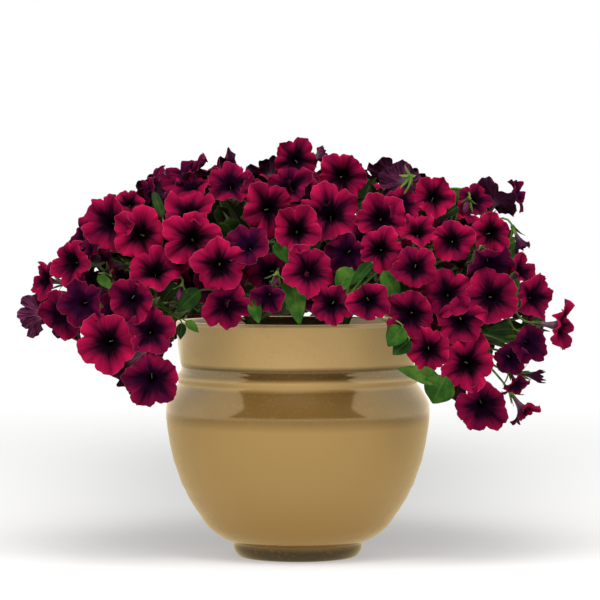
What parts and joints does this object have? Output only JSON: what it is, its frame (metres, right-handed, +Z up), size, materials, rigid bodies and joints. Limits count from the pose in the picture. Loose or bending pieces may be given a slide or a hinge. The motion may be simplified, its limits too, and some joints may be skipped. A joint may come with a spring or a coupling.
{
  "type": "potted petunia bowl planter",
  "caption": "Round glazed ceramic bowl planter on a raised foot, filled with a wide trailing mound of burgundy petunias with calyces, buds and leafy shoots.",
  "frame": {"origin": "on the surface the pot stands on, under the middle of the object's bounding box, close to the pot's own axis", "axes": "+X across the planting's longest side, +Y to the back, so that the fuller front with the blooms faces -Y, and +Z up"},
  "size_m": [0.6082, 0.3975, 0.471],
  "materials": {
    "pot": "gloss",
    "potting_soil": "matte",
    "foliage": "matte",
    "petals": "matte"
  },
  "bodies": {
    "root": {"blooms_0_2": "petals", "blooms_1": "petals", "blooms_10": "petals", "blooms_11": "petals", "blooms_12": "petals", "blooms_13": "petals", "blooms_14_24_25_27_28_29": "petals", "blooms_15": "petals", "blooms_16_17_19": "petals", "blooms_18_21": "petals", "blooms_20": "petals", "blooms_22": "petals", "blooms_23_26": "petals", "blooms_30": "petals", "blooms_31": "petals", "blooms_32_33_34_35_53_54_55": "petals", "blooms_36": "petals", "blooms_37_39": "petals", "blooms_38": "petals", "blooms_3_5_6_45_46_47_48": "petals", "blooms_4": "petals", "blooms_40": "petals", "blooms_41_44": "petals", "blooms_42": "petals", "blooms_43": "petals", "blooms_49": "petals", "blooms_50": "petals", "blooms_51_52": "petals", "blooms_56_57": "petals", "blooms_58": "petals", "blooms_59": "petals", "blooms_60": "petals", "blooms_61_62_63_91_92": "petals", "blooms_64_65_66": "petals", "blooms_67_68_69_98": "petals", "blooms_70_71_72_79_80_81_93": "petals", "blooms_73_74_75": "petals", "blooms_76": "petals", "blooms_77_78_90": "petals", "blooms_7_8": "petals", "blooms_82": "petals", "blooms_83_84": "petals", "blooms_85_87": "petals", "blooms_86": "petals", "blooms_88_99": "petals", "blooms_89": "petals", "blooms_9": "petals", "blooms_94_95": "petals", "blooms_96": "petals", "blooms_97": "petals", "plant_1": "foliage", "plant_2": "foliage", "plant_3": "foliage", "plant_4": "foliage", "plant_5": "foliage", "plant_6": "foliage", "pot": "pot", "potting_soil": "potting_soil"}
  },
  "joints": []
}
